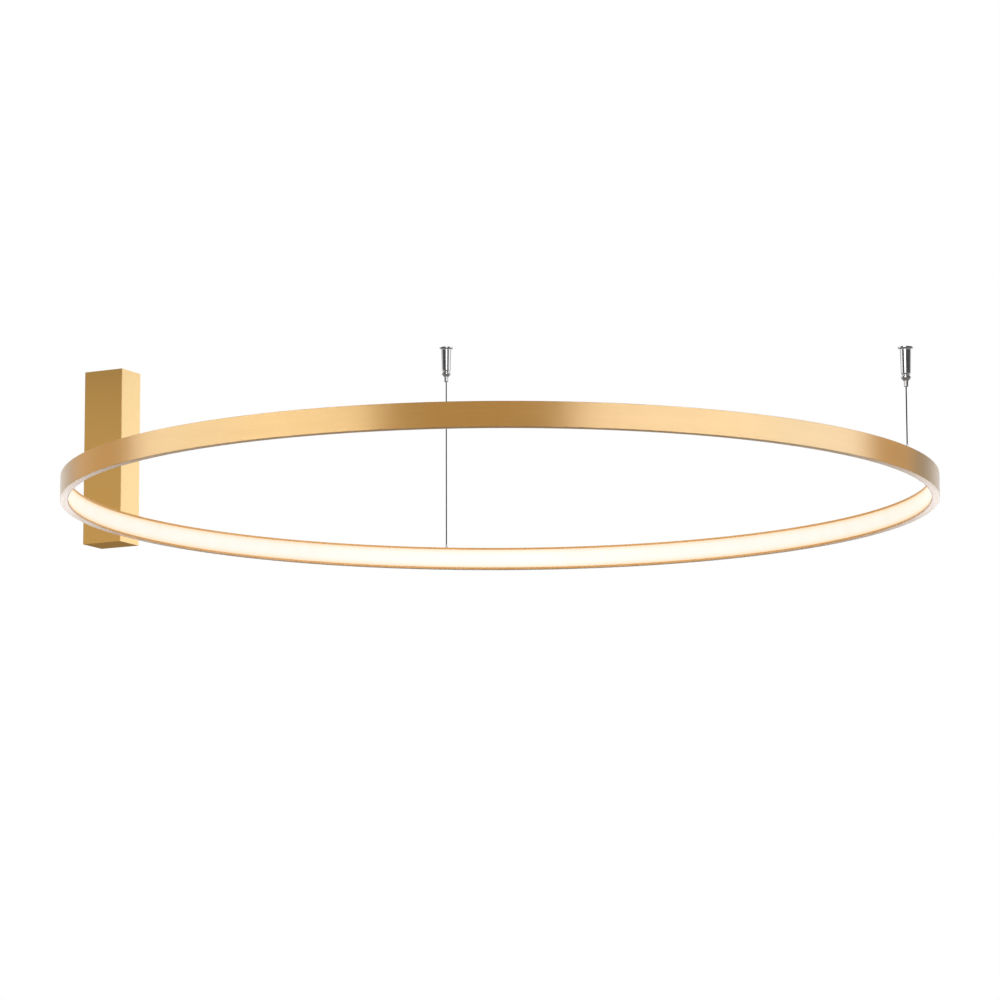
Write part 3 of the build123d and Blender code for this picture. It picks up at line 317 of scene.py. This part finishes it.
def ring_gold():
    """Satin anodised aluminium, drawn along the ring, with no clear coat below and inside, where
    the lips' inner faces take a painted warm glow.
    """
    paint = Paint("ring_gold", gold, 0.38, 1.0)
    along, height, outward = paint.round_ring()
    drawn = paint.vector(along, height, outward)
    lines = paint.noise(1.0, (20.0, 2600.0, 2600.0), drawn, detail=2.0)
    clouds = paint.noise(1.0, (5.0, 60.0, 60.0), drawn, detail=2.0)
    most = paint.math("MULTIPLY", lines, 0.6)
    least = paint.math("MULTIPLY", clouds, 0.4)
    tone = paint.vary(paint.math("ADD", most, least), 0.06)
    below = paint.spread(facing(paint, 2), 1.0, 0.0, -0.9, -0.6)
    # inside marks the lips' inner faces: their deeper orange, less metallic base is painted glow
    # light from the diffuser over the gold
    inside = paint.spread(outward, 1.0, 0.0, ring_radius - lip_depth, ring_radius - coat_and_painted_glow_depth)
    paint.drive("Base Color", paint.mixed(inside, tone, (0.80, 0.42, 0.13)))
    satin = paint.spread(lines, 0.34, 0.44)
    paint.drive("Roughness", paint.math("ADD", satin, paint.math("MULTIPLY", inside, 0.1)))
    paint.drive("Metallic", paint.spread(inside, 1.0, 0.2, 0.0, 1.0))
    paint.set("Anisotropic", 0.85)
    paint.set("Anisotropic Rotation", 0.25)
    round_axis = paint.node("ShaderNodeTangent", direction_type="RADIAL", axis="Z")
    paint.drive("Tangent", round_axis.outputs[0])
    shown = paint.math("MAXIMUM", inside, below)
    paint.drive("Coat Weight", paint.math("SUBTRACT", 1.0, shown))
    paint.set("Coat Roughness", 0.28)
    paint.set("Coat IOR", 1.5)
    paint.bump(lines, 0.000004, 0.3, paint.round_normal())
    return paint.material


def box_gold():
    """Satin metallic lacquer with fine flakes and a trace of orange peel."""
    paint = Paint("box_gold", gold, 0.38, 1.0)
    flakes = paint.noise(1800.0, detail=2.0)
    peel = paint.noise(240.0, detail=1.0)
    paint.vary(flakes, 0.05)
    paint.drive("Roughness", paint.spread(peel, 0.37, 0.39))
    paint.set("Specular Tint", (0.84, 0.59, 0.27, 1.0))
    paint.set("Coat Weight", 0.08)
    paint.set("Coat Roughness", 0.3)
    skin = paint.bump(peel, 0.00002, 0.12)
    paint.bump(flakes, 0.00001, 0.2, skin)
    return paint.material


def opal():
    """Opal diffuser, lit from behind, warmer and dimmer towards the lips."""
    paint = Paint("opal", (0.25, 0.245, 0.235), 0.42)
    along, height, outward = paint.round_ring()
    from_middle = paint.math("ABSOLUTE", paint.math("SUBTRACT", height, ring_centre.z))
    edge = paint.spread(from_middle, 0.0, 1.0, even_glow, whole_glow)
    glow = paint.ramp(
        edge,
        (0.0, (1.0, 0.92, 0.78)),
        (0.45, (1.0, 0.90, 0.73)),
        (0.75, (1.0, 0.81, 0.56)),
        (1.0, (1.0, 0.62, 0.27)),
    )
    mottle = paint.noise(1.0, (55.0, 30.0, 30.0), paint.vector(along, height, outward), detail=2.0)
    faint = paint.tint(mottle, (0.965, 0.96, 0.94), (1.0, 1.0, 1.0))
    both = paint.node("ShaderNodeMix", data_type="RGBA", blend_type="MULTIPLY")
    both.inputs["Factor"].default_value = 1.0
    paint.join(glow, both.inputs[6])
    paint.join(faint, both.inputs[7])
    paint.drive("Emission Color", both.outputs[2])
    paint.set("Emission Strength", 0.84)
    paint.bump(paint.noise(900.0, detail=2.0), 0.00002, 0.3)
    return paint.material


def metal(name, colour, roughness, grain=900.0, worn=0.06):
    """Plain or plated metal with handling marks and fine grain."""
    paint = Paint(name, colour, roughness, 1.0)
    marks = paint.noise(grain / 6, detail=5.0)
    fine = paint.noise(grain, detail=3.0)
    paint.vary(marks, worn)
    paint.drive("Roughness", paint.spread(marks, roughness - 0.06, roughness + 0.08))
    paint.bump(fine, 0.00002, 0.3)
    return paint.material


def plastic(name, colour, roughness, grain=1500.0, depth=0.00004, sheen=0.0):
    """Moulded plastic with the grain of its mould and faint flow marks."""
    paint = Paint(name, colour, roughness)
    flow = paint.noise(grain / 40, (1, 1, 0.4), detail=3.0)
    skin = paint.noise(grain, detail=2.0)
    paint.vary(flow, 0.07)
    paint.drive("Roughness", paint.spread(skin, roughness - 0.05, roughness + 0.08))
    paint.set("Sheen Weight", sheen)
    paint.bump(skin, depth, 0.4)
    return paint.material


def zinc_steel():
    """Bright zinc plating, with the faint blue and yellow of its passivation."""
    paint = Paint("zinc_steel", (0.66, 0.68, 0.72), 0.33, 1.0)
    spangle = paint.cells(420.0)
    film = paint.noise(90.0, detail=4.0)
    paint.drive("Base Color", paint.tint(film, (0.62, 0.66, 0.74), (0.74, 0.72, 0.62)))
    paint.drive("Roughness", paint.spread(spangle, 0.25, 0.42, 0.0, 0.8))
    paint.bump(spangle, 0.00002, 0.3)
    return paint.material


def cable_steel():
    """Drawn stainless wire, its tone and roughness varied in fine lengthwise streaks."""
    paint = Paint("cable_steel", (0.12, 0.12, 0.12), 0.5, 1.0)
    drawn = paint.noise(4000.0, (1, 1, 0.15), detail=3.0)
    paint.vary(drawn, 0.16)
    paint.drive("Roughness", paint.spread(drawn, 0.42, 0.60))
    paint.bump(drawn, 0.00002, 0.4)
    return paint.material


def gripper_chrome():
    """Chromed brass with the fine rings that turning left under the plating."""
    paint = Paint("gripper_chrome", (0.80, 0.80, 0.81), 0.12, 1.0)
    rings = paint.noise(1.0, (60.0, 60.0, 3500.0), detail=2.0)
    haze = paint.noise(300.0, detail=4.0)
    paint.vary(haze, 0.04)
    paint.drive("Roughness", paint.spread(haze, 0.09, 0.18))
    paint.bump(rings, 0.00001, 0.2)
    return paint.material


def grommet_rubber():
    """Soft black rubber with a dusty sheen."""
    return plastic("grommet_rubber", (0.025, 0.025, 0.027), 0.62, 900.0, 0.00008, 0.3)


def driver_case():
    """White polycarbonate with a matt mould grain."""
    return plastic("driver_case", (0.80, 0.80, 0.78), 0.48, 1300.0, 0.00006)


def board_green():
    """Laminate under green solder mask, with the weave and the copper tracks showing through."""
    paint = Paint("board_green", (0.02, 0.16, 0.07), 0.3)
    across, along = (paint.node("ShaderNodeTexWave", bands_direction=way) for way in "YZ")
    for wave in (across, along):
        wave.inputs["Scale"].default_value = 380.0
        wave.inputs["Distortion"].default_value = 0.6
        paint.join(paint.node("ShaderNodeTexCoord").outputs["Object"], wave.inputs["Vector"])
    weave = paint.math("MULTIPLY", across.outputs["Fac"], along.outputs["Fac"])
    tracks = paint.noise(130.0, (1, 1, 0.25), detail=0.0)
    under = paint.tint(tracks, (0.02, 0.15, 0.06), (0.07, 0.27, 0.10), 0.53, 0.55)
    threads = paint.spread(weave, 0.0, 0.35, 0.2, 0.9)
    paint.drive("Base Color", paint.mixed(threads, under, (0.03, 0.20, 0.09)))
    low = paint.bump(weave, 0.00002, 0.3)
    paint.bump(paint.spread(tracks, 0.0, 1.0, 0.52, 0.56), 0.00004, 0.5, low)
    paint.set("Coat Weight", 0.5)
    paint.set("Coat Roughness", 0.15)
    return paint.material


def winding_tape():
    """Yellow polyester tape over the turns, which show as ridges."""
    paint = Paint("winding_tape", (0.85, 0.55, 0.05), 0.25)
    turns = paint.noise(1.0, (40.0, 40.0, 2200.0), detail=1.0)
    paint.vary(turns, 0.15)
    paint.drive("Roughness", paint.spread(turns, 0.18, 0.34))
    paint.bump(turns, 0.00006, 0.6)
    return paint.material


def capacitor_can():
    """Plain dark sleeve shrunk over an aluminium can, whose top shows bare."""
    paint = Paint("capacitor_can", (0.03, 0.045, 0.10), 0.26)
    shrink = paint.noise(1.0, (1500.0, 90.0, 90.0), detail=3.0)
    top = paint.spread(facing(paint, 0), 0.0, 1.0, 0.8, 0.95)
    sleeve = paint.tint(shrink, (0.02, 0.035, 0.08), (0.05, 0.07, 0.14))
    paint.drive("Base Color", paint.mixed(top, sleeve, (0.72, 0.73, 0.74)))
    paint.drive("Metallic", top)
    paint.bump(shrink, 0.00003, 0.4)
    return paint.material


def ferrite():
    """Grey sintered ferrite with an open grain and darker specks."""
    paint = Paint("ferrite", (0.07, 0.07, 0.075), 0.55)
    grain = paint.cells(2600.0)
    specks = paint.tint(grain, (0.035, 0.035, 0.04), (0.11, 0.11, 0.115), 0.1, 0.6)
    paint.drive("Base Color", specks)
    paint.drive("Roughness", paint.spread(grain, 0.42, 0.7, 0.0, 0.7))
    paint.bump(grain, 0.00005, 0.5)
    return paint.material


def diode_yellow():
    """White package with the yellow phosphor that fills its cup, glowing."""
    paint = Paint("diode_yellow", (0.90, 0.70, 0.22), 0.4)
    phosphor = paint.cells(5200.0)
    paint.vary(phosphor, 0.18, 0.1, 0.6)
    glow = paint.tint(phosphor, (1.0, 0.72, 0.30), (1.0, 0.86, 0.55), 0.1, 0.6)
    paint.drive("Emission Color", glow)
    paint.set("Emission Strength", 1.5)
    paint.bump(phosphor, 0.00004, 0.5)
    return paint.material


def strip_white():
    """White solder mask on a flexible circuit, with its copper pads raised a little."""
    paint = Paint("strip_white", (0.86, 0.86, 0.84), 0.38)
    along, height, outward = paint.round_ring()
    pads = paint.noise(1.0, (170.0, 500.0, 1.0), paint.vector(along, height, outward), detail=0.0)
    paint.drive("Base Color", paint.tint(pads, (0.80, 0.80, 0.78), (0.90, 0.90, 0.88), 0.48, 0.52))
    paint.bump(paint.spread(pads, 0.0, 1.0, 0.47, 0.53), 0.00003, 0.5)
    return paint.material


def enamelled_copper():
    """Enamelled winding wire, seen as close turns."""
    paint = Paint("copper_wire", (0.72, 0.28, 0.10), 0.22, 1.0)
    turns = paint.noise(1.0, (900.0, 900.0, 900.0), detail=2.0)
    paint.vary(turns, 0.25)
    paint.bump(turns, 0.00006, 0.7)
    paint.set("Coat Weight", 0.8)
    paint.set("Coat Roughness", 0.1)
    return paint.material


def wire_sheath(name, colour):
    """Smooth insulation with the faint lines of its extruder."""
    paint = Paint(name, colour, 0.36)
    lines = paint.noise(700.0, (1, 1, 0.2), detail=3.0)
    paint.vary(lines, 0.12)
    paint.drive("Roughness", paint.spread(lines, 0.3, 0.46))
    paint.bump(lines, 0.00003, 0.4)
    return paint.material


finishes = {
    "ring_gold": ring_gold,
    "box_gold": box_gold,
    "opal": opal,
    "strip_white": strip_white,
    "diode_yellow": diode_yellow,
    "resistor_black": lambda: plastic("resistor_black", (0.02, 0.02, 0.022), 0.3, 3000.0),
    "zinc_steel": zinc_steel,
    "grommet_rubber": grommet_rubber,
    "driver_case": driver_case,
    "board_green": board_green,
    "ferrite": ferrite,
    "winding_tape": winding_tape,
    "bobbin_black": lambda: plastic("bobbin_black", (0.03, 0.03, 0.032), 0.44, 1400.0),
    "copper_wire": enamelled_copper,
    "capacitor_can": capacitor_can,
    "chip_black": lambda: plastic("chip_black", (0.022, 0.022, 0.025), 0.5, 2400.0, 0.00005),
    "terminal_white": lambda: plastic("terminal_white", (0.84, 0.83, 0.79), 0.4, 1100.0),
    "clamp_brass": lambda: metal("clamp_brass", (0.80, 0.62, 0.30), 0.28, 1200.0, 0.1),
    "tag_brass": lambda: metal("tag_brass", (0.78, 0.60, 0.28), 0.32, 1000.0, 0.12),
    "wire_brown": lambda: wire_sheath("wire_brown", (0.17, 0.07, 0.03)),
    "wire_blue": lambda: wire_sheath("wire_blue", (0.03, 0.14, 0.50)),
    "wire_green": lambda: wire_sheath("wire_green", (0.08, 0.36, 0.07)),
    "wire_red": lambda: wire_sheath("wire_red", (0.55, 0.03, 0.02)),
    "wire_black": lambda: wire_sheath("wire_black", (0.02, 0.02, 0.02)),
    "cable_steel": cable_steel,
    "bush_nickel": lambda: metal("bush_nickel", (0.62, 0.60, 0.57), 0.3, 1500.0, 0.08),
    "ferrule_aluminium": lambda: metal("ferrule_aluminium", (0.76, 0.77, 0.78), 0.42, 900.0, 0.1),
    "gripper_chrome": gripper_chrome,
    "spring_cap_brass": lambda: metal("spring_cap_brass", (0.78, 0.60, 0.30), 0.3, 1300.0),
    "spring_steel": lambda: metal("spring_steel", (0.56, 0.56, 0.57), 0.28, 2000.0),
    "ball_steel": lambda: metal("ball_steel", (0.74, 0.74, 0.75), 0.08, 3000.0, 0.03),
}


def dress_nodes():
    """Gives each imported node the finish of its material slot."""
    made = {slot: make() for slot, make in finishes.items()}
    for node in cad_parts.values():
        for place in node.material_slots:
            place.material = made[place.material.name.split(".")[0]]
    return made


materials = dress_nodes()


def strand_outline(turn):
    """Points round a laid wire rope: the outline of its outer strands, turned by an angle."""
    strand = strand_share * cable_diameter / 2
    orbit = cable_diameter / 2 - strand
    half_gap = pi / cable_strands
    points = []
    for index in range(cable_strands * strand_points):
        lobe, part = divmod(index, strand_points)
        across = (part / strand_points - 0.5) * 2 * half_gap
        inside = max(0.0, strand * strand - (orbit * sin(across)) ** 2)
        reach = orbit * cos(across) + sqrt(inside)
        angle = turn + 2 * half_gap * lobe + across
        points.append(Vector((reach * cos(angle), reach * sin(angle), 0)))
    return points


def coil_spring(side):
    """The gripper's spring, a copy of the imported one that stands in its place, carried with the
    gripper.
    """
    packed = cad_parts[f"release_spring_{side}"]
    coil = bpy.data.objects.new(f"coil_spring_{side}", packed.data.copy())
    bpy.context.scene.collection.objects.link(coil)
    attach(coil, f"gripper_{side}")
    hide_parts(f"release_spring_{side}")
    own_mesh(coil)
    return coil


def cable(side):
    """A straight laid wire rope in place of the plain packed one, with its gripper on it."""
    low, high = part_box(f"cable_{side}")
    axis = Vector(((low.x + high.x) / 2, (low.y + high.y) / 2, 0))
    length = high.z - low.z
    steps = round(length / cable_step)
    mesh = bmesh.new()
    rings = []
    for step in range(steps + 1):
        height = low.z + length * step / steps
        turn = 2 * pi * length * step / steps / cable_lay
        lift = axis + Vector((0, 0, height))
        rings.append([mesh.verts.new(lift + point) for point in strand_outline(turn)])
    for lower, upper in zip(rings, rings[1:]):
        for index in range(len(lower)):
            after = (index + 1) % len(lower)
            mesh.faces.new((lower[index], lower[after], upper[after], upper[index]))
    mesh.faces.new(reversed(rings[0]))
    mesh.faces.new(rings[-1])
    data = bpy.data.meshes.new(f"wire_rope_{side}")
    mesh.to_mesh(data)
    mesh.free()
    data.shade_smooth()
    data.materials.append(materials["cable_steel"])
    rope = bpy.data.objects.new(f"wire_rope_{side}", data)
    bpy.context.scene.collection.objects.link(rope)
    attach(rope, "lamp")
    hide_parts(f"cable_{side}")
    gripper = [
        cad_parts[f"{name}_{side}"]
        for name in (
            "ceiling_cup",
            "gripper_body",
            "spring_cap",
            "release_plunger",
            "grip_balls",
        )
    ]
    gripper.append(coil_spring(side))


for side in ("a", "b"):
    cable(side)


def receivers(name, *words):
    """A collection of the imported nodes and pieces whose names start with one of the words."""
    made = bpy.data.collections.new(name)
    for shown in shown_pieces():
        if shown.name.startswith(words):
            made.objects.link(shown)
    return made


def panel(
    name,
    lit,
    azimuth,
    width,
    radiance,
    colour,
    rise=panel_rise,
    distance=panel_distance,
    height=panel_height,
    target=ring_centre,
):
    """A soft area light that faces its target, unseen by the camera, for the pieces in lit."""
    data = bpy.data.lights.new(name, "AREA")
    data.shape = "RECTANGLE"
    data.size = width
    data.size_y = height
    data.color = colour
    data.energy = radiance * panel_watts * width * height
    light = bpy.data.objects.new(name, data)
    bpy.context.scene.collection.objects.link(light)
    away = level_direction(azimuth) * cos(radians(rise)) + Vector((0, 0, sin(radians(rise))))
    light.location = target + distance * away
    light.rotation_mode = "QUATERNION"
    light.rotation_quaternion = (-away).to_track_quat("-Z", "Y")
    light.visible_camera = False
    light.light_linking.receiver_collection = lit
    light.light_linking.blocker_collection = lit


def studio_world():
    """White behind the object as the camera and polished metal see it, dimmer elsewhere."""
    world = bpy.data.worlds.new("studio")
    bpy.context.scene.world = world
    world.use_nodes = True
    nodes = world.node_tree.nodes
    links = world.node_tree.links
    background = nodes["Background"]
    direction = nodes.new("ShaderNodeTexCoord").outputs["Generated"]
    along = nodes.new("ShaderNodeVectorMath")
    along.operation = "DOT_PRODUCT"
    along.inputs[1].default_value = level_direction(0)
    links.new(direction, along.inputs[0])
    share = nodes.new("ShaderNodeMapRange")
    links.new(along.outputs["Value"], share.inputs["Value"])
    share.inputs["From Min"].default_value = -1.0
    ramp = nodes.new("ShaderNodeValToRGB")
    links.new(share.outputs["Result"], ramp.inputs["Fac"])
    elements = ramp.color_ramp.elements
    while len(elements) < len(mirrored_tones):
        elements.new(0.5)
    for element, (place, tone) in zip(elements, mirrored_tones):
        element.position = place
        element.color = (tone, tone, tone, 1)
    path = nodes.new("ShaderNodeLightPath")
    polished = nodes.new("ShaderNodeMix")
    polished.data_type = "RGBA"
    links.new(path.outputs["Is Glossy Ray"], polished.inputs["Factor"])
    polished.inputs[6].default_value = (other_tone, other_tone, other_tone, 1)
    links.new(ramp.outputs["Color"], polished.inputs[7])
    seen = nodes.new("ShaderNodeMix")
    seen.data_type = "RGBA"
    links.new(path.outputs["Is Camera Ray"], seen.inputs["Factor"])
    links.new(polished.outputs[2], seen.inputs[6])
    seen.inputs[7].default_value = (1, 1, 1, 1)
    links.new(seen.outputs[2], background.inputs["Color"])


def pale_floor():
    """A wide pale floor, far below, that keeps the object's shadow."""
    mesh = bmesh.new()
    corners = ((-1, -1), (1, -1), (1, 1), (-1, 1))
    mesh.faces.new([
        mesh.verts.new((ring_centre.x + floor_reach * x, floor_reach * y, -floor_drop))
        for x, y in corners
    ])
    data = bpy.data.meshes.new("floor")
    mesh.to_mesh(data)
    mesh.free()
    floor = bpy.data.objects.new("floor", data)
    bpy.context.scene.collection.objects.link(floor)
    material = bpy.data.materials.new("floor")
    material.use_nodes = True
    nodes = material.node_tree.nodes
    links = material.node_tree.links
    nodes.remove(nodes["Principled BSDF"])
    matt = nodes.new("ShaderNodeBsdfDiffuse")
    path = nodes.new("ShaderNodeLightPath")
    reach = nodes.new("ShaderNodeVectorMath")
    reach.operation = "LENGTH"
    links.new(nodes.new("ShaderNodeTexCoord").outputs["Object"], reach.inputs[0])
    far = nodes.new("ShaderNodeValToRGB")
    share = nodes.new("ShaderNodeMapRange")
    share.inputs["From Max"].default_value = floor_reach
    links.new(reach.outputs["Value"], share.inputs["Value"])
    links.new(share.outputs["Result"], far.inputs["Fac"])
    for element, (place, colour) in zip(far.color_ramp.elements, floor_tones):
        element.position = place
        element.color = (*colour, 1)
    tone = nodes.new("ShaderNodeMix")
    tone.data_type = "RGBA"
    links.new(path.outputs["Is Camera Ray"], tone.inputs["Factor"])
    links.new(far.outputs["Color"], tone.inputs[6])
    tone.inputs[7].default_value = (floor_seen, floor_seen, floor_seen, 1)
    links.new(tone.outputs[2], matt.inputs["Color"])
    lift = nodes.new("ShaderNodeEmission")
    strength = nodes.new("ShaderNodeMath")
    strength.operation = "MULTIPLY"
    links.new(path.outputs["Is Camera Ray"], strength.inputs[0])
    strength.inputs[1].default_value = floor_lift
    links.new(strength.outputs[0], lift.inputs["Strength"])
    both = nodes.new("ShaderNodeAddShader")
    links.new(matt.outputs[0], both.inputs[0])
    links.new(lift.outputs[0], both.inputs[1])
    links.new(both.outputs[0], nodes["Material Output"].inputs["Surface"])
    data.materials.append(material)
    floor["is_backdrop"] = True


def light_ring():
    """The bright bands of the ring's outer face, its paler underside and its glowing band."""
    lit = receivers("ring_pieces", "ring_profile", "saddle", "cable_bush")
    panel("left_panel", lit, -65, 3.75, 1.3, (0.74, 0.80, 0.98))
    panel("right_panel", lit, 59.5, 4.7, 1.64, (0.61, 0.70, 0.99))
    panel("warm_front", lit, 0, 24.0, 0.21, warm, rise=6, distance=4.5, height=6.0)
    panel("amber_front", lit, -5, 2.3, 0.14, amber)
    panel("low_strip", lit, 180, 3.0, 1.75, (0.46, 0.62, 1.0), rise=-10, height=0.45)
    glowing = receivers("glowing_pieces", "diffuser")
    panel("glow_front", glowing, 0, 3.0, 3.4, (0.45, 0.72, 1.0), rise=-5, height=2.0)
    panel("amber_left", lit, -118, 1.6, 0.33, amber)
    panel("amber_right", lit, 112, 1.2, 0.33, amber)


def light_gripper(letter, side):
    """The upright bright stripes in a gripper's chrome, mirrored from one gripper to the other."""
    names = (f"{piece}_{letter}" for piece in ("ceiling_cup", "gripper_body", "release_plunger"))
    lit = receivers(f"chrome_{letter}", *names)
    panel(f"stripe_{letter}", lit, side * 8, 1.5, 1.5, white, rise=10, height=2.0)
    panel(f"wide_{letter}", lit, side * 100, 2.6, 0.75, white, height=2.0)
    panel(f"narrow_{letter}", lit, side * -120, 1.6, 0.4, white, height=2.0)


def light_box():
    """The box's bright right face, its darker front face and the line on the corner between."""
    lit = receivers("box_pieces", "box_shell", "foot_cap", "cap_screws")
    middle = sum(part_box("box_shell"), Vector()) / 2
    low = middle - Vector((0, 0, box_target_drop))
    panel(
        "box_right", lit, 124, 0.9, 2.1, (0.50, 0.61, 1.0),
        rise=4, distance=1.0, height=0.8, target=low,
    )
    panel(
        "box_front", lit, -50, 0.9, 0.44, (1.0, 0.86, 0.62),
        rise=2, distance=0.6, height=0.5, target=low,
    )
    panel("box_corner", lit, 34, 1.4, 2.2, (0.80, 0.86, 1.0), rise=6, target=middle)


studio_world()
pale_floor()
light_ring()
light_gripper("a", 1)
light_gripper("b", -1)
light_box()

scene = bpy.context.scene
scene.view_settings.view_transform = "Standard"
